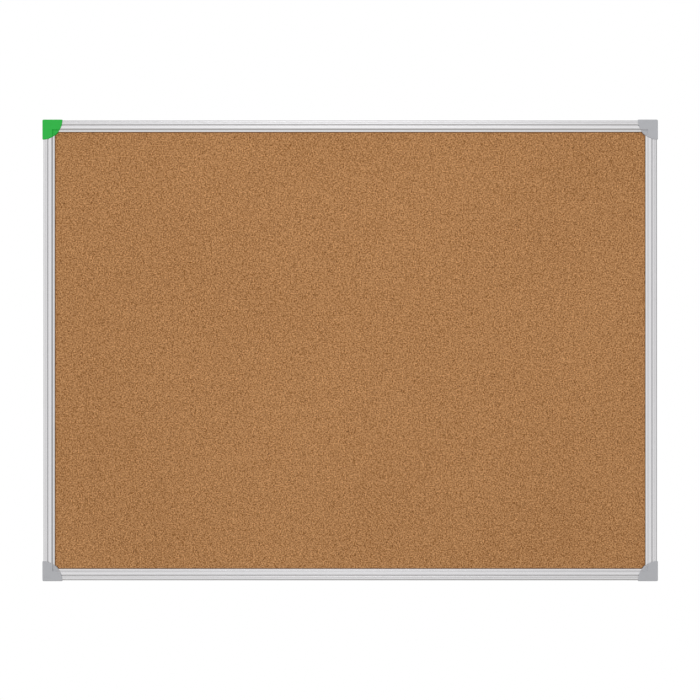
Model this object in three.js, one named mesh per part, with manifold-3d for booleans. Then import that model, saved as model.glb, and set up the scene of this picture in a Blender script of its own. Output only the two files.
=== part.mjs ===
// A framed cork notice board for a wall, in millimetres.
//
// A panel of cork on softboard sits in four rails of extruded aluminium, which are cut square.
// A moulded bracket at each corner plugs into the two rails that meet there, and holds the hole
// for a wall screw. A pull-off cap hides the bracket, its hole and the rails' cut ends.
//
// The board is drawn lying on its back: x to the right, y up the board, z out of the wall.
// The last lines stand it up, so that z is up, the front faces -y and the wall plane is y = 0.

import * as THREE from "three";
import { mergeVertices } from "three/addons/utils/BufferGeometryUtils.js";
import Module from "manifold-3d";

const wasm = await Module();
wasm.setup();

// The whole board, over the corner caps
const boardWidth = 1200;
const boardHeight = 900;

// Clearances
const slipGap = 0.3; // between pieces that plug or slide together
const panelGap = 0.5; // from the panel's edge to the rail, for swelling in damp air
const glueLine = 0.2; // the adhesive film between two layers of the panel
const screwGap = 0.2; // around a screw in its hole
const overrun = 2; // how far a cutting tool passes the face that it cuts

// Layers of the panel, front to back
const corkThickness = 1.5; // at its margin, which the rails' lips press in
const corkCrown = 0.3; // how far the field between the lips and caps stands proud of the margin
const coreThickness = 8;
const backingThickness = 0.6;

// Rail section: the face runs from the outer edge over a band, a groove and a ridge, then
// falls to a lip that laps over the cork
const railWall = 1.3;
const bandWidth = 7.4;
const grooveWidth = 3.6;
const grooveDepth = 1.25;
const ridgeWidth = 5;
const slopeWidth = 3.4;
const lipWidth = 3.2;
const lipThickness = 1.8;
const lipEdgeRadius = 1; // where the lip turns down to the cork
const lipDrop = 2.4;
const flangeWidth = 4; // the rear flange, from the web inwards
const railEdgeRadius = 3; // along the outer front edge
const railSoftening = 0.45; // the small round on the section's other edges
const lineInset = 4.9; // a fine scored line in the band, from the outer edge
const lineWidth = 0.9;
const lineDepth = 0.25;

// Corner bracket
const legLength = 55;
const legChamfer = 1.5;
const legWall = 1.8;
const legCells = 4;
const seatThickness = 3; // the floor that a wall screw's head clamps
const wallScrewRadius = 3.2;
const pocketRadius = 5.6; // room for the screw's head and the driver
const bracketCornerRadius = 1.2;

// Corner cap
const capWall = 1.2;
const capRadius = 39.4; // the cap's curved edge, about its outer corner
const capCornerRadius = 0.8; // on the front face, inside the round of its edges
const capTipRadius = 0.3; // likewise
const capEdgeRadius = 1.8; // the round along its front edges
const capRimRadius = 2.2; // the wider round where its lowered part ends at the curved edge
const capStepWidth = 1.9; // the slanted step down to the lowered part
const skirtRise = 3; // from the wall to the skirt's rear edge
const pegRadius = 1.5;
const pegLength = 7;
const pegSlot = 0.6;

// Countersunk screws that hold each rail to a bracket, driven from behind
const railScrewInset = 20.5; // from the end of the rail
const railScrewLength = 9;
const railScrewHeadRadius = 2.9;
const railScrewRadius = 1.5;
const railScrewTip = 1.8;
const railScrewSink = 0.1; // how far the head lies below the rail's rear face
const railScrewRim = 0.25; // the straight edge of the head
const crossSlotWidth = 0.6;
const crossSlotLength = 3.2;
const crossSlotDepth = 0.7;
const bossRadius = 3.2;

// Steps in a round, and in a whole turn
const edgeSteps = 4;
const turnSteps = 24;
const capArcParts = 5; // lengths of the cap's curved edge, each of which has the steps of a round
const quarterTurn = Math.PI / 2;

// Levels above the wall plane
const panelBack = railWall + slipGap;
const coreBack = panelBack + backingThickness + glueLine;
const corkBack = coreBack + coreThickness + glueLine;
const marginFront = corkBack + corkThickness;
const lipBack = marginFront + slipGap;
const lipFront = lipBack + lipThickness;
const railFront = lipFront + lipDrop;

// Distances from a rail's outer edge
const faceWidth = bandWidth + grooveWidth + ridgeWidth;
const slopeEnd = faceWidth + slopeWidth;
const railWidth = slopeEnd + lipWidth;
const flangeEnd = faceWidth + flangeWidth;
const railMiddle = faceWidth / 2;

// The frame inside its caps
const capProud = slipGap + capWall;
const frameWidth = boardWidth - 2 * capProud;
const frameHeight = boardHeight - 2 * capProud;
const railStart = railWidth + slipGap; // from the frame's corner to the end of a rail
const panelWidth = frameWidth - 2 * (faceWidth + panelGap);
const panelHeight = frameHeight - 2 * (faceWidth + panelGap);

// Extruded aluminium, natural anodised
const aluminium = () => new THREE.MeshStandardMaterial({ color: 0xd9dadb, roughness: 0.35, metalness: 1 });
const corkFacing = () => new THREE.MeshStandardMaterial({ color: 0xa97a4f, roughness: 0.95, metalness: 0 });
const fibreCore = () => new THREE.MeshStandardMaterial({ color: 0x8d7350, roughness: 1, metalness: 0 });
const backingPaper = () => new THREE.MeshStandardMaterial({ color: 0xc9c7c1, roughness: 0.8, metalness: 0 });
const greyPlastic = () => new THREE.MeshStandardMaterial({ color: 0xafb0b4, roughness: 0.5, metalness: 0 });
const greenPlastic = () => new THREE.MeshStandardMaterial({ color: 0x32b44b, roughness: 0.5, metalness: 0 });
const darkPlastic = () => new THREE.MeshStandardMaterial({ color: 0x6c6e72, roughness: 0.6, metalness: 0 });
const platedSteel = () => new THREE.MeshStandardMaterial({ color: 0xc4c6c8, roughness: 0.3, metalness: 1 });

const board = new THREE.Group();

function solidOf(geometry) {
  const bare = geometry.clone();
  bare.deleteAttribute("normal");
  bare.deleteAttribute("uv");
  const merged = mergeVertices(bare);
  const vertProperties = merged.attributes.position.array;
  const triVerts = new Uint32Array(merged.index.array);
  return new wasm.Manifold(new wasm.Mesh({ numProp: 3, vertProperties, triVerts }));
}

function geometryOf(solid) {
  const { vertProperties, triVerts } = solid.getMesh();
  const geometry = new THREE.BufferGeometry();
  geometry.setAttribute("position", new THREE.BufferAttribute(vertProperties, 3));
  geometry.setIndex(new THREE.BufferAttribute(triVerts, 1));
  geometry.computeVertexNormals();
  return geometry;
}

// A block between two corners
function block(low, high) {
  const size = high.map((value, i) => value - low[i]);
  const middle = high.map((value, i) => (value + low[i]) / 2);
  return new THREE.BoxGeometry(...size).translate(...middle);
}

// A round bar standing on z = base
function bar(radius, base, top, x, y) {
  const geometry = new THREE.CylinderGeometry(radius, radius, top - base, turnSteps);
  return geometry.rotateX(quarterTurn).translate(x, y, (base + top) / 2);
}

// Adds a closed outline of [x, y, round] points to a shape; round is how far back from the
// corner its curve begins
function trace(path, points) {
  points.forEach(([x, y, round], i) => {
    const toward = ([otherX, otherY]) => {
      const far = Math.hypot(otherX - x, otherY - y);
      return [x + ((otherX - x) * round) / far, y + ((otherY - y) * round) / far];
    };
    const before = points[(i + points.length - 1) % points.length];
    const after = points[(i + 1) % points.length];
    const start = round ? toward(before) : [x, y];
    if (i === 0) path.moveTo(...start);
    else path.lineTo(...start);
    if (round) path.quadraticCurveTo(x, y, ...toward(after));
  });
  path.closePath();
  return path;
}

function extrude(shape, depth) {
  return new THREE.ExtrudeGeometry(shape, { depth, bevelEnabled: false, curveSegments: edgeSteps });
}

// The rail's section: across from the outer edge, and up from the wall
function railSection() {
  const bandEnd = bandWidth;
  const grooveMiddle = bandEnd + grooveWidth / 2;
  const grooveEnd = bandEnd + grooveWidth;
  const lineStart = lineInset - lineWidth / 2;
  const lineEnd = lineInset + lineWidth / 2;
  const soft = railSoftening;
  const section = trace(new THREE.Shape(), [
    [0, 0, soft],
    [flangeEnd, 0, soft],
    [flangeEnd, railWall, soft],
    [faceWidth, railWall, 0],
    [faceWidth, lipBack, 0],
    [railWidth, lipBack, 0],
    [railWidth, lipFront, lipEdgeRadius],
    [slopeEnd, lipFront, soft],
    [faceWidth, railFront, soft],
    [grooveEnd, railFront, soft],
    [grooveMiddle, railFront - grooveDepth, soft],
    [bandEnd, railFront, soft],
    [lineEnd, railFront, 0],
    [lineInset, railFront - lineDepth, 0],
    [lineStart, railFront, 0],
    [0, railFront, railEdgeRadius],
  ]);
  const ceiling = railFront - railWall;
  const chamber = trace(new THREE.Path(), [
    [railWall, railWall, soft],
    [railWall, ceiling, Math.max(soft, railEdgeRadius - railWall)],
    [bandEnd, ceiling, 0],
    [grooveMiddle, ceiling - grooveDepth, 0],
    [grooveEnd, ceiling, 0],
    [faceWidth - railWall, ceiling, soft],
    [faceWidth - railWall, railWall, soft],
  ]);
  section.holes.push(chamber);
  return section;
}

// A rail with its outer face on y = 0, the board below it and its length along x, drilled and
// countersunk from behind near each end
function railGeometry(length) {
  const along = new THREE.Matrix4().makeBasis(
    new THREE.Vector3(0, -1, 0),
    new THREE.Vector3(0, 0, 1),
    new THREE.Vector3(-1, 0, 0),
  );
  const blank = extrude(railSection(), length).applyMatrix4(along).translate(length / 2, 0, 0);
  let rail = solidOf(blank);
  for (const side of [-1, 1]) {
    const hole = railScrewShape(screwGap).translate(side * (length / 2 - railScrewInset), -railMiddle, 0);
    rail = rail.subtract(solidOf(hole));
  }
  return geometryOf(rail);
}

// A countersunk screw on the z axis, its head on the wall side; a gap grows it into its hole
function railScrewShape(gap) {
  const head = railScrewRadius + gap;
  const rim = railScrewHeadRadius + gap;
  const profile = [
    [0, gap ? -overrun : railScrewSink],
    [rim, gap ? -overrun : railScrewSink],
    [rim, railScrewSink + railScrewRim],
    [head, railWall + railScrewRim],
    [head, railScrewLength - railScrewTip],
    [0, railScrewLength + gap],
  ];
  const points = profile.map(([radius, height]) => new THREE.Vector2(radius, height));
  return new THREE.LatheGeometry(points, turnSteps).rotateX(quarterTurn);
}

function railScrewGeometry() {
  const slotHalf = crossSlotLength / 2;
  const slotSide = crossSlotWidth / 2;
  const slotFloor = railScrewSink + crossSlotDepth;
  const slots = solidOf(block([-slotHalf, -slotSide, -overrun], [slotHalf, slotSide, slotFloor])).add(
    solidOf(block([-slotSide, -slotHalf, -overrun], [slotSide, slotHalf, slotFloor])),
  );
  return geometryOf(solidOf(railScrewShape(0)).subtract(slots));
}

// A corner piece is drawn for the lower left corner, with the frame's corner at the origin.
// This copies a solid across the corner's diagonal.
function bothWays(solid) {
  return solid.add(solid.mirror([1, -1, 0]));
}

// The leg that plugs into a rail's chamber, cored out from behind between ribs
function bracketLeg() {
  const near = railWall + slipGap;
  const far = faceWidth - railWall - slipGap;
  const floor = railWall + slipGap;
  const roof = railFront - railWall - grooveDepth - slipGap;
  const root = railWidth;
  const tip = root + legLength;
  const plan = trace(new THREE.Shape(), [
    [root - overrun, near, 0],
    [tip, near, legChamfer],
    [tip, far, legChamfer],
    [root - overrun, far, 0],
  ]);
  let leg = solidOf(extrude(plan, roof - floor).translate(0, 0, floor));
  const pitch = (legLength - legWall) / legCells;
  for (let i = 0; i < legCells; i++) {
    const cell = root + i * pitch + legWall;
    const low = [cell, near + legWall, floor - overrun];
    const high = [cell + pitch - legWall, far - legWall, roof - legWall];
    leg = leg.subtract(solidOf(block(low, high)));
  }
  const screwX = railStart + railScrewInset;
  leg = leg.add(solidOf(bar(bossRadius, floor, roof - legWall / 2, screwX, railMiddle)));
  return leg.subtract(solidOf(railScrewShape(screwGap).translate(screwX, railMiddle, 0)));
}

// The moulded corner bracket: a corner block with the wall screw's pocket, a leg for each
// rail, and a slot between floor and ledge for the corner of the panel
function bracketGeometry() {
  const corner = trace(new THREE.Shape(), [
    [0, 0, bracketCornerRadius],
    [railWidth, 0, 0],
    [railWidth, faceWidth, 0],
    [faceWidth, faceWidth, 0],
    [faceWidth, railWidth, 0],
    [0, railWidth, 0],
  ]);
  const inside = faceWidth - railWall;
  const plate = trace(new THREE.Shape(), [
    [inside, inside, 0],
    [railWidth, inside, 0],
    [railWidth, flangeEnd, 0],
    [flangeEnd, railWidth, 0],
    [inside, railWidth, 0],
  ]);
  const floor = extrude(plate, railWall);
  const ledge = block([inside, inside, lipBack], [railWidth, railWidth, lipFront]);
  const screwHole = bar(wallScrewRadius, -overrun, railFront, railMiddle, railMiddle);
  const pocket = bar(pocketRadius, seatThickness, railFront + overrun, railMiddle, railMiddle);
  const socket = bar(pegRadius + slipGap, pegTip() - slipGap, railFront + overrun, pegInset(), railMiddle);
  const bracket = solidOf(extrude(corner, railFront))
    .add(solidOf(floor))
    .add(solidOf(ledge))
    .add(bothWays(bracketLeg()))
    .subtract(solidOf(screwHole))
    .subtract(solidOf(pocket))
    .subtract(bothWays(solidOf(socket)));
  return geometryOf(bracket);
}

// The cap's pegs: how far from the frame's corner they stand, and where they end
function pegInset() {
  return (faceWidth + railWidth) / 2;
}

function pegTip() {
  return railFront + slipGap - pegLength;
}

// The cap's plan: a quarter disc about its outer corner, that corner and both tips rounded
// widely enough for an edge round of the given radius
function capOutline(edgeRadius) {
  const corner = capCornerRadius + edgeRadius;
  const tip = capTipRadius + edgeRadius;
  const reach = Math.sqrt((capRadius - tip) ** 2 - tip ** 2);
  const turn = Math.atan2(tip, reach);
  const sweep = (quarterTurn - 2 * turn) / capArcParts;
  const outline = new THREE.Shape();
  outline.moveTo(corner, 0);
  outline.absarc(reach, tip, tip, -quarterTurn, turn);
  for (let i = 0; i < capArcParts; i++) {
    outline.absarc(0, 0, capRadius, turn + i * sweep, turn + (i + 1) * sweep);
  }
  outline.absarc(tip, reach, tip, quarterTurn - turn, 2 * quarterTurn);
  outline.absarc(corner, corner, corner, 2 * quarterTurn, 3 * quarterTurn);
  return outline;
}

// The cap's plan as a block with a round of the given radius along its front edge
function capBlank(front, radius) {
  const settings = {
    depth: front - radius,
    bevelThickness: radius,
    bevelSize: radius,
    bevelOffset: -radius,
    bevelSegments: edgeSteps,
    curveSegments: edgeSteps,
  };
  return solidOf(new THREE.ExtrudeGeometry(capOutline(radius), settings).translate(-capProud, -capProud, 0));
}

// The space in front of a step that faces the board's middle on both sides of the corner: it
// falls from the crest, at the upper level, to the foot, and there goes on down to the floor
function stepSpace([crest, upper], [foot, lower], floor) {
  const far = capRadius + overrun;
  const outline = trace(new THREE.Shape(), [
    [crest, upper + overrun, 0],
    [crest, upper, 0],
    [foot, lower, 0],
    [foot, floor, 0],
    [far, floor, 0],
    [far, upper + overrun, 0],
  ]);
  const prism = extrude(outline, 2 * far).translate(0, 0, -far);
  const acrossX = new THREE.Vector3(1, 0, 0);
  const acrossY = new THREE.Vector3(0, 1, 0);
  const up = new THREE.Vector3(0, 0, 1);
  const overX = new THREE.Matrix4().makeBasis(acrossX, up, acrossY.clone().negate());
  const overY = new THREE.Matrix4().makeBasis(acrossY, up, acrossX);
  return solidOf(prism.clone().applyMatrix4(overX)).intersect(solidOf(prism.applyMatrix4(overY)));
}

// The cap: a shell over the corner, with a skirt down the outside of both rails, a lowered
// inner part over their lips, and a rim that closes down onto the cork
function capGeometry() {
  const far = capRadius + overrun;
  const capFront = railFront + capProud;
  const loweredFront = lipFront + capProud;
  const ceiling = railFront + slipGap;
  const loweredCeiling = lipFront + slipGap;
  const offset = slipGap * Math.tan(Math.atan2(lipDrop, slopeWidth) / 2);
  const underside = stepSpace([faceWidth + offset, ceiling], [slopeEnd + offset, loweredCeiling], lipBack);
  const upside = stepSpace([slopeEnd - capStepWidth, capFront], [slopeEnd, loweredFront], -overrun);
  const inner = slopeEnd - capWall / 2;
  const lowered = capBlank(loweredFront, capRimRadius).intersect(
    solidOf(block([inner, inner, 0], [far, far, capFront])),
  );
  const overLip = solidOf(block([-slipGap, -slipGap, -overrun], [far, far, loweredCeiling]));
  const rimStart = railWidth + slipGap;
  const rim = solidOf(block([rimStart, rimStart, lipBack], [far, far, capFront]));
  const cavity = solidOf(block([-slipGap, -slipGap, -overrun], [far, far, ceiling]))
    .subtract(underside)
    .add(overLip)
    .subtract(rim);
  const behind = solidOf(block([-far, -far, -far], [far, far, skirtRise]));
  const shell = capBlank(capFront, capEdgeRadius).subtract(upside).add(lowered).subtract(cavity);
  return geometryOf(shell.subtract(behind).add(bothWays(capPeg())));
}

// A split peg that springs into its socket in the bracket
function capPeg() {
  const top = railFront + slipGap + capWall / 2;
  const peg = solidOf(bar(pegRadius, pegTip(), top, pegInset(), railMiddle));
  const side = pegSlot / 2;
  const low = [pegInset() - pegRadius - overrun, railMiddle - side, pegTip() - overrun];
  const high = [pegInset() + pegRadius + overrun, railMiddle + side, railFront];
  return peg.subtract(solidOf(block(low, high)));
}

function add(parent, name, geometry, material) {
  const mesh = new THREE.Mesh(geometry, material);
  mesh.name = name;
  parent.add(mesh);
  return mesh;
}

// A layer of the panel, between two levels
function panelLayer(back, front) {
  const reach = [panelWidth / 2, panelHeight / 2];
  return block([-reach[0], -reach[1], back], [...reach, front]);
}

// The cork: a sheet whose field swells between the lips, cut off at each corner round the cap
function corkGeometry() {
  const reachX = frameWidth / 2 - railStart;
  const reachY = frameHeight / 2 - railStart;
  const low = marginFront - corkThickness / 2;
  const capReach = capRadius + slipGap;
  const steps = 4 * capArcParts * edgeSteps;
  const disc = new THREE.CylinderGeometry(capReach, capReach, 2 * corkThickness, steps);
  disc.rotateX(quarterTurn).translate(0, 0, marginFront);
  let field = solidOf(block([-reachX, -reachY, low], [reachX, reachY, marginFront + corkCrown]));
  for (const acrossX of [-boardWidth / 2, boardWidth / 2]) {
    for (const acrossY of [-boardHeight / 2, boardHeight / 2]) {
      field = field.subtract(solidOf(disc.clone().translate(acrossX, acrossY, 0)));
    }
  }
  return geometryOf(field.add(solidOf(panelLayer(corkBack, marginFront))));
}

function addPanel() {
  add(board, "backing_sheet", panelLayer(panelBack, panelBack + backingThickness), backingPaper());
  add(board, "softboard_core", panelLayer(coreBack, coreBack + coreThickness), fibreCore());
  add(board, "cork_sheet", corkGeometry(), corkFacing());
}

// Each side is drawn as the top one and turned to its place. The names say where the two ends
// of its rail, first the one on the left of the top rail, have come to.
function addSide(name, ends, turns, width, reach) {
  const side = new THREE.Group();
  side.rotation.z = turns * quarterTurn;
  const length = width - 2 * railStart;
  add(side, `${name}_rail`, railGeometry(length), aluminium()).position.y = reach;
  ends.forEach((end, i) => {
    const screw = add(side, `${name}_rail_screw_${end}`, railScrewGeometry(), platedSteel());
    const along = length / 2 - railScrewInset;
    screw.position.set(i === 0 ? -along : along, reach - railMiddle, 0);
  });
  board.add(side);
}

// Each corner is drawn as the lower left one and turned to its place
function addCorner(name, turns, acrossX, acrossY, plastic) {
  const corner = new THREE.Group();
  corner.rotation.z = turns * quarterTurn;
  corner.position.set((acrossX * frameWidth) / 2, (acrossY * frameHeight) / 2, 0);
  add(corner, `corner_bracket_${name}`, bracketGeometry(), darkPlastic());
  add(corner, `corner_cap_${name}`, capGeometry(), plastic());
  board.add(corner);
}

addPanel();
addSide("top", ["left", "right"], 0, frameWidth, frameHeight / 2);
addSide("left", ["bottom", "top"], 1, frameHeight, frameWidth / 2);
addSide("bottom", ["right", "left"], 2, frameWidth, frameHeight / 2);
addSide("right", ["top", "bottom"], 3, frameHeight, frameWidth / 2);
addCorner("bottom_left", 0, -1, -1, greyPlastic);
addCorner("bottom_right", 1, 1, -1, greyPlastic);
addCorner("top_right", 2, 1, 1, greyPlastic);
addCorner("top_left", 3, -1, 1, greenPlastic);

// Stood up against the wall
board.rotation.x = quarterTurn;

export default board;
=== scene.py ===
# A framed cork notice board, dressed around its frame model. All lengths are in metres.

import math

import bmesh
import bpy
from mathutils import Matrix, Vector


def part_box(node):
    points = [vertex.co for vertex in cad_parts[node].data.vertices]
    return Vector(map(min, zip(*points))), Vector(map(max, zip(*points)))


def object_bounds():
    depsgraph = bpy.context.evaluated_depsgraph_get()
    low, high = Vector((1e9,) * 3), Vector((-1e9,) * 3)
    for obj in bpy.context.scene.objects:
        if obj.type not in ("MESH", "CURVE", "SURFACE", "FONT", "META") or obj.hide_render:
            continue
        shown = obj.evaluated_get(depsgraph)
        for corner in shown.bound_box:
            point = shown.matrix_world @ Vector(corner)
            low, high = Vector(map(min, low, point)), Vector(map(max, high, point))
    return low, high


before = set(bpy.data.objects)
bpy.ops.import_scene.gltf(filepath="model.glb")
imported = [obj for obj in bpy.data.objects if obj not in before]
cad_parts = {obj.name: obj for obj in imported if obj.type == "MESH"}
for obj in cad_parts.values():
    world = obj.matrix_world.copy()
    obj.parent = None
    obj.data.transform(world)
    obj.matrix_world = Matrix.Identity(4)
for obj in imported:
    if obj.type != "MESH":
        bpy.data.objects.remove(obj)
cad_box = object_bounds()
scene = bpy.context.scene
scene.view_settings.view_transform = "Standard"

# Camera
# The photograph looks straight at the board from far away. The board is 615.7 of the picture's
# 700 pixels wide over its corner caps, and its middle lies just right of and below the picture's.
PICTURE_PIXELS = 700
BOARD_PIXELS = 615.7
BOARD_RIGHT_PIXELS = 0.14
BOARD_DOWN_PIXELS = 0.36
CAMERA_DISTANCE = 6.0
CAMERA_SENSOR = 36
BOARD_FRONT = cad_box[0][1]
BOARD_WIDTH = cad_box[1][0] - cad_box[0][0]
PIXEL = BOARD_WIDTH / BOARD_PIXELS

camera_data = bpy.data.cameras.new("camera")
camera_data.sensor_width = CAMERA_SENSOR
camera_data.lens = CAMERA_SENSOR * CAMERA_DISTANCE / (PICTURE_PIXELS * PIXEL)
camera = bpy.data.objects.new("camera", camera_data)
camera.location = (
    -BOARD_RIGHT_PIXELS * PIXEL, BOARD_FRONT - CAMERA_DISTANCE, BOARD_DOWN_PIXELS * PIXEL,
)
camera.rotation_euler = (math.pi / 2, 0, 0)
scene.collection.objects.link(camera)
scene.camera = camera

# Cork sheet
# Cork ground to granules of about a millimetre, pressed with a binder into a block, sliced to a
# sheet and sanded. The cut granules show as a packed mosaic from pale tan to the brown of bark,
# in small clumps of like tone. The face is dry and dull, with pits along the granules' joints.
MM = 0.001
CORK_BROWN = "#7a470f"
CORK_PALE = "#ecb37b"
CORK_BARK = "#5c3517"
CORK_BINDER = "#75461c"
# The next colour is painted shade, laid along the rails' lips and the caps' rims
CORK_PAINTED_SHADE = "#3f2d1c"
CORK_GRANULE = 1.15 * MM
CORK_CRUMB = 0.6 * MM
CORK_CLOUD = 300 * MM
CORK_WANDER = 0.45 * MM
CORK_WANDER_SHARE = 0.6
CORK_JOINT = 0.1 * MM
CORK_PIT = 2 * CORK_JOINT
CORK_WHOLE_SHARE = 0.45
CORK_BARK_SHARE = 0.035
CORK_BINDER_SHARE = 0.6
CORK_RELIEF = 0.15 * MM
CORK_CELL_RELIEF_SHARE = 0.3
# Width and strength of the painted shade beside the lips and rims
CORK_SHADE_WIDTH = 1.8 * MM
CORK_SHADE_SHARE = 0.8

# Cells and clumps of like tone are drawn coarser than real ones, so that they show
CORK_CELL = 0.35 * MM
CORK_CLUMP = 2.4 * MM

# How much each pattern sways a granule's tone, and the sums that give its two end colours
CORK_CELL_SWAY = 0.6
CORK_CLOUD_SWAY = 0.3
CORK_CLUMP_SWAY = 3.2
CORK_DARKEST = 1.42
CORK_PALEST = 3.76


def linear(code):
    """Give the linear colour of an sRGB hex value."""
    values = [int(code[i:i + 2], 16) / 255 for i in (1, 3, 5)]
    bent = [v / 12.92 if v <= 0.04045 else ((v + 0.055) / 1.055) ** 2.4 for v in values]
    return (*bent, 1.0)


def add_node(tree, kind, inputs=(), output=None, **settings):
    """Add a node with its settings, and give its named output, or else its first.

    An input is a value, or a socket to link from, under its socket's name or number.
    """
    node = tree.nodes.new(kind)
    for name, value in settings.items():
        setattr(node, name, value)
    used = [socket for socket in node.inputs if socket.enabled]
    for key, value in dict(inputs).items():
        socket = used[key] if isinstance(key, int) else next(s for s in used if s.name == key)
        if isinstance(value, bpy.types.NodeSocket):
            tree.links.new(value, socket)
        else:
            socket.default_value = value
    return next((s for s in node.outputs if s.enabled and output in (None, s.name)), None)


def start_material(name):
    """Make an empty material, and give it with its tree and Object coordinates."""
    made = bpy.data.materials.new(name)
    made.use_nodes = True
    made.node_tree.nodes.clear()
    place = add_node(made.node_tree, "ShaderNodeTexCoord", output="Object")
    return made, made.node_tree, place


def end_material(tree, height, depth, inputs):
    """Close a material with its surface, raised by a height pattern times a depth."""
    relief = add_node(tree, "ShaderNodeBump", {"Height": height, "Distance": depth})
    surface = add_node(tree, "ShaderNodeBsdfPrincipled", {**inputs, "Normal": relief})
    add_node(tree, "ShaderNodeOutputMaterial", {"Surface": surface})


def dress(material, *names):
    """Give the named parts of the frame model a material."""
    for name in names:
        for slot in bpy.data.objects[name].material_slots:
            slot.material = material


cork, tree, place = start_material("cork_granulate")
wander = add_node(
    tree, "ShaderNodeTexNoise",
    {"Vector": place, "Scale": CORK_WANDER_SHARE / CORK_GRANULE}, "Color",
)
bent = add_node(
    tree, "ShaderNodeVectorMath", {0: wander, 1: [CORK_WANDER] * 3, 2: place},
    operation="MULTIPLY_ADD",
)
granule = add_node(
    tree, "ShaderNodeTexVoronoi", {"Vector": bent, "Scale": 1 / CORK_GRANULE}, "Color",
)
crumb = add_node(tree, "ShaderNodeTexVoronoi", {"Vector": bent, "Scale": 1 / CORK_CRUMB}, "Color")
granule_tone = add_node(tree, "ShaderNodeSeparateColor", {"Color": granule})
crumb_tone = add_node(tree, "ShaderNodeSeparateColor", {"Color": crumb})
ground_up = add_node(
    tree, "ShaderNodeMath", {0: granule_tone.node.outputs["Green"], 1: CORK_WHOLE_SHARE},
    operation="GREATER_THAN",
)
shade = add_node(
    tree, "ShaderNodeMix", {"Factor": ground_up, "A": granule_tone, "B": crumb_tone},
)
cell = add_node(tree, "ShaderNodeTexNoise", {"Vector": place, "Scale": 1 / CORK_CELL})
cloud = add_node(
    tree, "ShaderNodeTexNoise", {"Vector": place, "Scale": 1 / CORK_CLOUD, "Detail": 2.0},
)

# All of a granule or crumb takes the clump's tone at its middle
middle = add_node(
    tree, "ShaderNodeMix",
    {
        "Factor": ground_up,
        "A": granule.node.outputs["Position"],
        "B": crumb.node.outputs["Position"],
    },
    data_type="VECTOR",
)
clump = add_node(
    tree, "ShaderNodeTexNoise", {"Vector": middle, "Scale": 1 / CORK_CLUMP, "Detail": 0.0},
)
for pattern, sway in (
    (cell, CORK_CELL_SWAY), (cloud, CORK_CLOUD_SWAY), (clump, CORK_CLUMP_SWAY),
):
    shade = add_node(
        tree, "ShaderNodeMath", {0: pattern, 1: sway, 2: shade}, operation="MULTIPLY_ADD",
    )
spread = add_node(
    tree, "ShaderNodeMapRange",
    {"Value": shade, "From Min": CORK_DARKEST, "From Max": CORK_PALEST},
)
flesh = add_node(
    tree, "ShaderNodeMix", {"Factor": spread, "A": linear(CORK_BROWN), "B": linear(CORK_PALE)},
    data_type="RGBA",
)
bark = add_node(
    tree, "ShaderNodeMath", {0: granule_tone.node.outputs["Blue"], 1: CORK_BARK_SHARE},
    operation="LESS_THAN",
)
barky = add_node(
    tree, "ShaderNodeMix", {"Factor": bark, "A": flesh, "B": linear(CORK_BARK)},
    data_type="RGBA",
)
edge = add_node(
    tree, "ShaderNodeTexVoronoi", {"Vector": bent, "Scale": 1 / CORK_GRANULE},
    feature="DISTANCE_TO_EDGE",
)
joint = add_node(
    tree, "ShaderNodeMapRange",
    {
        "Value": edge,
        "From Max": CORK_JOINT / CORK_GRANULE,
        "To Min": CORK_BINDER_SHARE,
        "To Max": 0.0,
    },
)
face = add_node(
    tree, "ShaderNodeMix", {"Factor": joint, "A": barky, "B": linear(CORK_BINDER)},
    data_type="RGBA",
)
high = add_node(
    tree, "ShaderNodeMapRange", {"Value": edge, "From Max": CORK_PIT / CORK_GRANULE},
)

# Painted shade: a narrow band of the cork beside the rails' lips and the caps' rims is darkened,
# standing in for the shadow that the lips and rims cast
LIP_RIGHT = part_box("right_rail")[0].x
LIP_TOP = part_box("top_rail")[0].z
BOARD_RIGHT = cad_box[1][0]
BOARD_TOP = cad_box[1][2]
CAP_REACH = BOARD_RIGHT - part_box("corner_cap_top_right")[0].x

quarter = add_node(tree, "ShaderNodeVectorMath", {0: place}, operation="ABSOLUTE")
plane = add_node(tree, "ShaderNodeVectorMath", {0: quarter, 1: (1, 0, 1)}, operation="MULTIPLY")
parts = add_node(tree, "ShaderNodeSeparateXYZ", {"Vector": plane})
from_side = add_node(tree, "ShaderNodeMath", {0: LIP_RIGHT, 1: parts}, operation="SUBTRACT")
from_top = add_node(
    tree, "ShaderNodeMath", {0: LIP_TOP, 1: parts.node.outputs["Z"]}, operation="SUBTRACT",
)
from_corner = add_node(
    tree, "ShaderNodeVectorMath", {0: plane, 1: (BOARD_RIGHT, 0, BOARD_TOP)}, "Value",
    operation="DISTANCE",
)
from_cap = add_node(tree, "ShaderNodeMath", {0: from_corner, 1: CAP_REACH}, operation="SUBTRACT")
from_rail = add_node(tree, "ShaderNodeMath", {0: from_side, 1: from_top}, operation="MINIMUM")
margin = add_node(tree, "ShaderNodeMath", {0: from_rail, 1: from_cap}, operation="MINIMUM")
# Painted shade, strongest at the lip's or rim's edge and fading out over its width
painted_shade = add_node(
    tree, "ShaderNodeMapRange",
    {
        "Value": margin,
        "From Max": CORK_SHADE_WIDTH,
        "To Min": CORK_SHADE_SHARE,
        "To Max": 0.0,
    },
    interpolation_type="SMOOTHSTEP",
)
face = add_node(
    tree, "ShaderNodeMix", {"Factor": painted_shade, "A": face, "B": linear(CORK_PAINTED_SHADE)},
    data_type="RGBA",
)
height = add_node(
    tree, "ShaderNodeMath", {0: cell, 1: CORK_CELL_RELIEF_SHARE, 2: high},
    operation="MULTIPLY_ADD",
)
end_material(
    tree, height, CORK_RELIEF,
    {"Base Color": face, "Roughness": 0.92, "Specular IOR Level": 0.2},
)
dress(cork, "cork_sheet")

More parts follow.
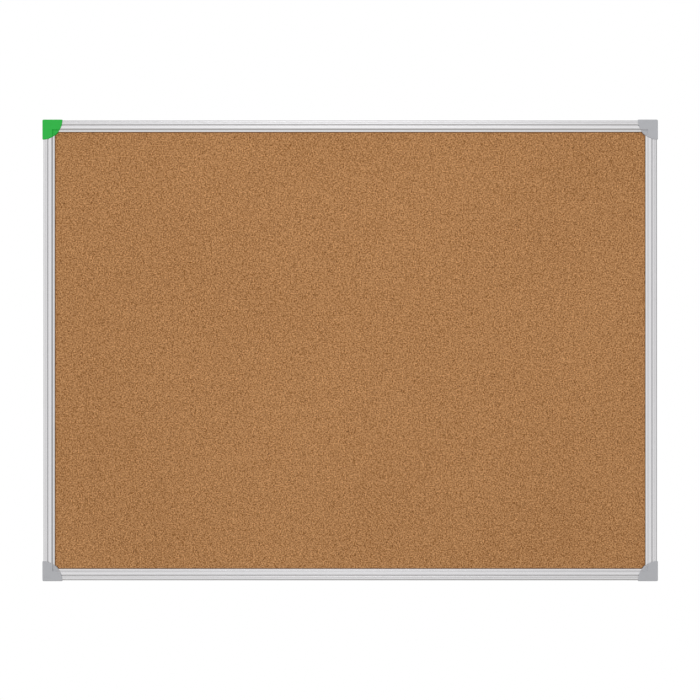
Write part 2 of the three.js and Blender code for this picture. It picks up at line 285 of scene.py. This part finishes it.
# Softboard core
# Wood fibre wet-felted into a soft board, which holds the pins. It is hidden between the cork
# and the backing, and shows only its fibrous edge when a corner is opened.
SOFTBOARD_TAN = "#a3875f"
SOFTBOARD_BROWN = "#7d6444"
SOFTBOARD_FIBRE = 1.2 * MM
SOFTBOARD_FLATTEN = 3.0
SOFTBOARD_RELIEF = 0.3 * MM

softboard, tree, place = start_material("softboard_fibre")
flat = add_node(
    tree, "ShaderNodeMapping", {"Vector": place, "Scale": (1.0, SOFTBOARD_FLATTEN, 1.0)},
)
fibre = add_node(
    tree, "ShaderNodeTexNoise",
    {"Vector": flat, "Scale": 1 / SOFTBOARD_FIBRE, "Detail": 3.0, "Distortion": 1.5},
)
face = add_node(
    tree, "ShaderNodeMix",
    {"Factor": fibre, "A": linear(SOFTBOARD_BROWN), "B": linear(SOFTBOARD_TAN)},
    data_type="RGBA",
)
end_material(tree, fibre, SOFTBOARD_RELIEF, {"Base Color": face, "Roughness": 1.0})
dress(softboard, "softboard_core")

# Backing sheet
# A thin pale grey laminate of kraft paper, glued over the back to keep the panel flat. It is
# dull, slightly mottled by its pulp, and has scattered darker fibres.
BACKING_GREY = "#c4c2bc"
BACKING_MOTTLE = "#b4b1aa"
BACKING_FLECK = "#8f8a80"
BACKING_PULP = 9 * MM
BACKING_FIBRE = 2.2 * MM
BACKING_FLECK_SPACING = 9 * MM
BACKING_FLECK_RIM_SHARE = 0.04
BACKING_FLECK_CORE_SHARE = 0.02
BACKING_FLECK_STRETCH = 5
BACKING_FLECK_TURN = 0.5
BACKING_WANDER = 6 * MM
BACKING_WANDER_SHARE = 0.5
BACKING_RELIEF = 0.04 * MM

backing, tree, place = start_material("paper_laminate")
pulp = add_node(
    tree, "ShaderNodeTexNoise", {"Vector": place, "Scale": 1 / BACKING_PULP, "Detail": 6.0},
)
mottle = add_node(
    tree, "ShaderNodeMix", {"Factor": pulp, "A": linear(BACKING_MOTTLE), "B": linear(BACKING_GREY)},
    data_type="RGBA",
)
wander = add_node(
    tree, "ShaderNodeTexNoise",
    {"Vector": place, "Scale": BACKING_WANDER_SHARE / BACKING_PULP}, "Color",
)
bent = add_node(
    tree, "ShaderNodeVectorMath", {0: wander, 1: [BACKING_WANDER] * 3, 2: place},
    operation="MULTIPLY_ADD",
)
drawn = add_node(
    tree, "ShaderNodeMapping",
    {
        "Vector": bent,
        "Rotation": (0, BACKING_FLECK_TURN, 0),
        "Scale": (1 / BACKING_FLECK_STRETCH, 1.0, 1.0),
    },
)
fleck = add_node(
    tree, "ShaderNodeTexVoronoi", {"Vector": drawn, "Scale": 1 / BACKING_FLECK_SPACING},
)
fleck_here = add_node(
    tree, "ShaderNodeMapRange",
    {
        "Value": fleck,
        "From Min": BACKING_FLECK_RIM_SHARE,
        "From Max": BACKING_FLECK_CORE_SHARE,
    },
)
face = add_node(
    tree, "ShaderNodeMix", {"Factor": fleck_here, "A": mottle, "B": linear(BACKING_FLECK)},
    data_type="RGBA",
)
fibre = add_node(
    tree, "ShaderNodeTexNoise", {"Vector": place, "Scale": 1 / BACKING_FIBRE, "Detail": 4.0},
)
end_material(tree, fibre, BACKING_RELIEF, {"Base Color": face, "Roughness": 0.75})
dress(backing, "backing_sheet")

# Rails
# Aluminium extruded through a die, natural satin anodised and cut square. The die leaves fine
# lines along the length, which draw the light out across them, and the anodised skin is silky.
# The lines are drawn coarser than real ones, so that they show.
RAIL_METAL = "#cdcccd"
RAIL_LINE_METAL = "#c6c5c7"
RAIL_LINE = 0.35 * MM
RAIL_BAND = 2.5 * MM
RAIL_LINE_STRETCH = 3000
RAIL_SILKY = 0.22
RAIL_DULL = 0.34
RAIL_RELIEF = 0.002 * MM


def satin_aluminium(name, stretch):
    """Make the rails' aluminium, its die lines drawn out by a stretch of the pattern."""
    made, tree, place = start_material(name)
    drawn = add_node(tree, "ShaderNodeMapping", {"Vector": place, "Scale": stretch})
    line = add_node(
        tree, "ShaderNodeTexNoise", {"Vector": drawn, "Scale": 1 / RAIL_LINE, "Detail": 3.0},
    )
    band = add_node(
        tree, "ShaderNodeTexNoise", {"Vector": drawn, "Scale": 1 / RAIL_BAND, "Detail": 2.0},
    )
    metal = add_node(
        tree, "ShaderNodeMix",
        {"Factor": band, "A": linear(RAIL_LINE_METAL), "B": linear(RAIL_METAL)},
        data_type="RGBA",
    )
    silk = add_node(
        tree, "ShaderNodeMapRange",
        {"Value": line, "To Min": RAIL_SILKY, "To Max": RAIL_DULL},
    )
    end_material(
        tree, line, RAIL_RELIEF, {"Base Color": metal, "Metallic": 1.0, "Roughness": silk},
    )
    return made


# Rounds are shaded smooth up to the crease angle, and the flats beside them stay flat
CREASE = math.radians(32)
WELD = 0.001 * MM

rounds = bpy.data.node_groups.new("smooth_rounds", "GeometryNodeTree")
for way in ("INPUT", "OUTPUT"):
    rounds.interface.new_socket("Geometry", in_out=way, socket_type="NodeSocketGeometry")
loose = add_node(rounds, "NodeGroupInput")
welded = add_node(
    rounds, "GeometryNodeMergeByDistance", {"Geometry": loose, "Distance": WELD},
)
bare = add_node(
    rounds, "GeometryNodeRemoveAttribute", {"Geometry": welded, "Name": "custom_normal"},
)
faces = add_node(rounds, "GeometryNodeSetShadeSmooth", {"Geometry": bare})
edges = add_node(rounds, "GeometryNodeSetShadeSmooth", {"Geometry": faces}, domain="EDGE")
bend = add_node(rounds, "GeometryNodeInputMeshEdgeAngle")
crease = add_node(
    rounds, "FunctionNodeCompare", {"A": bend, "B": CREASE}, operation="GREATER_THAN",
)
done = add_node(
    rounds, "GeometryNodeSetShadeSmooth",
    {"Geometry": edges, "Selection": crease, "Shade Smooth": False},
    domain="EDGE",
)
add_node(rounds, "NodeGroupOutput", {"Geometry": done})


def smooth(*names):
    """Shade the rounds of the named parts smooth."""
    for name in names:
        modifiers = bpy.data.objects[name].modifiers
        modifiers.new("rounds", "NODES").node_group = rounds
        modifiers.new("flats", "WEIGHTED_NORMAL").keep_sharp = True


across = satin_aluminium("satin_aluminium_across", (1 / RAIL_LINE_STRETCH, 1, 1))
upright = satin_aluminium("satin_aluminium_upright", (1, 1, 1 / RAIL_LINE_STRETCH))
dress(across, "top_rail", "bottom_rail")
dress(upright, "left_rail", "right_rail")
smooth("top_rail", "bottom_rail", "left_rail", "right_rail")

# Rail screws
# Small countersunk steel screws with a cross slot, cold headed and bright zinc plated. The
# plating is smooth and faintly blue. The header's marks are drawn coarse enough to show.
SCREW_ZINC = "#c9ccd1"
SCREW_DULL = "#a9acb0"
SCREW_MARK = 0.5 * MM
SCREW_RELIEF = 0.01 * MM

zinc, tree, place = start_material("zinc_plated_steel")
mark = add_node(tree, "ShaderNodeTexNoise", {"Vector": place, "Scale": 1 / SCREW_MARK})
plating = add_node(
    tree, "ShaderNodeMix", {"Factor": mark, "A": linear(SCREW_DULL), "B": linear(SCREW_ZINC)},
    data_type="RGBA",
)
end_material(
    tree, mark, SCREW_RELIEF, {"Base Color": plating, "Metallic": 1.0, "Roughness": 0.28},
)
screws = [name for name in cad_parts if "_rail_screw_" in name]
dress(zinc, *screws)
smooth(*screws)

# Corner brackets
# One moulding of glass-filled nylon at each corner, plugged into the rails. It is dark grey and
# dull, because the glass fibres break the surface, with a faint flow of lighter streaks. The
# fibres are drawn coarse enough to show.
BRACKET_GREY = "#6a6c70"
BRACKET_STREAK = "#77797d"
BRACKET_FLOW = 5 * MM
BRACKET_FIBRE = 0.5 * MM
BRACKET_RELIEF = 0.02 * MM

nylon, tree, place = start_material("glass_filled_nylon")
flow = add_node(
    tree, "ShaderNodeTexNoise",
    {"Vector": place, "Scale": 1 / BRACKET_FLOW, "Detail": 3.0, "Distortion": 2.0},
)
body = add_node(
    tree, "ShaderNodeMix", {"Factor": flow, "A": linear(BRACKET_GREY), "B": linear(BRACKET_STREAK)},
    data_type="RGBA",
)
fibre = add_node(tree, "ShaderNodeTexNoise", {"Vector": place, "Scale": 1 / BRACKET_FIBRE})
end_material(tree, fibre, BRACKET_RELIEF, {"Base Color": body, "Roughness": 0.6})
corners = [f"{level}_{side}" for level in ("top", "bottom") for side in ("left", "right")]
brackets = [f"corner_bracket_{corner}" for corner in corners]
dress(nylon, *brackets)
smooth(*brackets)

# Corner caps
# Pull-off covers, injection moulded in ABS: three light grey and the top left one green. The
# mould was spark eroded to a fine satin, so the faces are soft and only the rounds shine. Its
# grain is drawn coarse enough to show.
CAP_GREY = "#b2b3b7"
CAP_GREEN = "#21b640"
CAP_SPARK = 0.45 * MM
CAP_FLOW = 12 * MM
CAP_RELIEF = 0.012 * MM
CAP_MOTTLE_SHARE = 0.04
CAP_SATIN = 0.38
CAP_DULL = 0.52
CAP_GREY_GLOSS = 0.45
CAP_GREEN_GLOSS = 0.3


def satin_abs(name, colour, gloss):
    """Make the caps' plastic in a colour, with the strength of its shine."""
    made, tree, place = start_material(name)
    flow = add_node(
        tree, "ShaderNodeTexNoise", {"Vector": place, "Scale": 1 / CAP_FLOW, "Detail": 2.0},
    )
    tint = add_node(
        tree, "ShaderNodeMapRange",
        {"Value": flow, "To Min": 1 - CAP_MOTTLE_SHARE, "To Max": 1 + CAP_MOTTLE_SHARE},
    )
    body = add_node(
        tree, "ShaderNodeHueSaturation", {"Value": tint, "Color": linear(colour)},
    )
    spark = add_node(
        tree, "ShaderNodeTexNoise", {"Vector": place, "Scale": 1 / CAP_SPARK, "Detail": 2.0},
    )
    satin = add_node(
        tree, "ShaderNodeMapRange",
        {"Value": spark, "To Min": CAP_SATIN, "To Max": CAP_DULL},
    )
    end_material(
        tree, spark, CAP_RELIEF,
        {"Base Color": body, "Roughness": satin, "Specular IOR Level": gloss},
    )
    return made


grey_abs = satin_abs("satin_abs_grey", CAP_GREY, CAP_GREY_GLOSS)
green_abs = satin_abs("satin_abs_green", CAP_GREEN, CAP_GREEN_GLOSS)
for corner in corners:
    dress(green_abs if corner == "top_left" else grey_abs, f"corner_cap_{corner}")
    smooth(f"corner_cap_{corner}")

# Room light
# A pale studio. A bright wall faces the board, the room around is brighter above and to the
# left, and what lies straight behind the board is white. Two soft round lamps stand in front,
# one high up and one farther off, both aimed at the board's upper middle through grids.
ROOM_AROUND = 0.96
ROOM_WALL = 1.34
ROOM_WALL_NARROW = 4.0
ROOM_TO_RIGHT = -0.265
ROOM_UP = 0.06
ROOM_WHITE = 1.0
ROOM_WHITE_FROM = 0.5
ROOM_WHITE_TO = 0.95
LAMP_TARGET = (0.0, 0.0, 0.2)
LAMP_SIZE = 1.0
HIGH_LAMP_PLACE = (0.0, -2.0, 2.6)
HIGH_LAMP_POWER = 0.17
HIGH_LAMP_SPREAD = math.radians(24)
FAR_LAMP_PLACE = (0.0, -3.0, 1.0)
FAR_LAMP_POWER = 0.07
FAR_LAMP_SPREAD = math.radians(22)

world = bpy.data.worlds.new("pale_studio")
world.use_nodes = True
scene.world = world
tree = world.node_tree
tree.nodes.clear()
toward = add_node(tree, "ShaderNodeTexCoord", output="Generated")
parts = add_node(tree, "ShaderNodeSeparateXYZ", {"Vector": toward})
to_wall = add_node(
    tree, "ShaderNodeMath", {0: parts.node.outputs["Y"], 1: -1.0}, operation="MULTIPLY",
    use_clamp=True,
)
wall = add_node(tree, "ShaderNodeMath", {0: to_wall, 1: ROOM_WALL_NARROW}, operation="POWER")
around = add_node(
    tree, "ShaderNodeVectorMath", {0: toward, 1: (ROOM_AROUND, 0, ROOM_AROUND)},
    operation="MULTIPLY",
)
tilted = add_node(
    tree, "ShaderNodeVectorMath", {0: around, 1: (ROOM_TO_RIGHT, 0, ROOM_UP)}, operation="ADD",
)
ring = add_node(
    tree, "ShaderNodeVectorMath", {0: tilted, 1: toward}, "Value", operation="DOT_PRODUCT",
)
room = add_node(
    tree, "ShaderNodeMath", {0: wall, 1: ROOM_WALL, 2: ring}, operation="MULTIPLY_ADD",
)
behind = add_node(
    tree, "ShaderNodeMapRange",
    {
        "Value": parts.node.outputs["Y"],
        "From Min": ROOM_WHITE_FROM,
        "From Max": ROOM_WHITE_TO,
    },
    interpolation_type="SMOOTHSTEP",
)
glow = add_node(tree, "ShaderNodeMix", {"Factor": behind, "A": room, "B": ROOM_WHITE})
backdrop = add_node(tree, "ShaderNodeBackground", {"Color": (1, 1, 1, 1), "Strength": glow})
add_node(tree, "ShaderNodeOutputWorld", {"Surface": backdrop})


def hang_lamp(name, place, power, spread):
    """Hang a soft lamp at a place, turned to the lamps' target."""
    lamp_data = bpy.data.lights.new(name, "AREA")
    lamp_data.shape = "DISK"
    lamp_data.size = LAMP_SIZE
    lamp_data.energy = power
    lamp_data.spread = spread
    lamp = bpy.data.objects.new(name, lamp_data)
    lamp.location = place
    aim = Vector(LAMP_TARGET) - lamp.location
    lamp.rotation_euler = aim.to_track_quat("-Z", "Y").to_euler()
    scene.collection.objects.link(lamp)


hang_lamp("high_lamp", HIGH_LAMP_PLACE, HIGH_LAMP_POWER, HIGH_LAMP_SPREAD)
hang_lamp("far_lamp", FAR_LAMP_PLACE, FAR_LAMP_POWER, FAR_LAMP_SPREAD)

# Floor
# A plain pale floor under the hanging board. It fades out into the light of the room before its
# rim, so that no edge shows from any side, and it stays below the photograph's view.
FLOOR_LEVEL = -1.25
FLOOR_RADIUS = 4.0
FLOOR_SIDES = 96
FLOOR_SOLID = 1.4
FLOOR_CLEAR_SHARE = 0.98
FLOOR_COLOUR = "#dededc"

floor_mesh = bpy.data.meshes.new("floor")
shape = bmesh.new()
bmesh.ops.create_circle(shape, cap_ends=True, segments=FLOOR_SIDES, radius=FLOOR_RADIUS)
bmesh.ops.translate(shape, verts=shape.verts, vec=(0, 0, FLOOR_LEVEL))
shape.to_mesh(floor_mesh)
shape.free()
floor = bpy.data.objects.new("floor", floor_mesh)
scene.collection.objects.link(floor)

paint, tree, place = start_material("floor_paint")
level_place = add_node(tree, "ShaderNodeVectorMath", {0: place, 1: (1, 1, 0)}, operation="MULTIPLY")
reach = add_node(
    tree, "ShaderNodeVectorMath", {0: level_place}, "Value", operation="LENGTH",
)
fade = add_node(
    tree, "ShaderNodeMapRange",
    {
        "Value": reach,
        "From Min": FLOOR_SOLID,
        "From Max": FLOOR_CLEAR_SHARE * FLOOR_RADIUS,
    },
    interpolation_type="SMOOTHSTEP",
)
solid = add_node(tree, "ShaderNodeBsdfDiffuse", {"Color": linear(FLOOR_COLOUR)})
clear = add_node(tree, "ShaderNodeBsdfTransparent")
surface = add_node(tree, "ShaderNodeMixShader", {0: fade, 1: solid, 2: clear})
add_node(tree, "ShaderNodeOutputMaterial", {"Surface": surface})
floor_mesh.materials.append(paint)
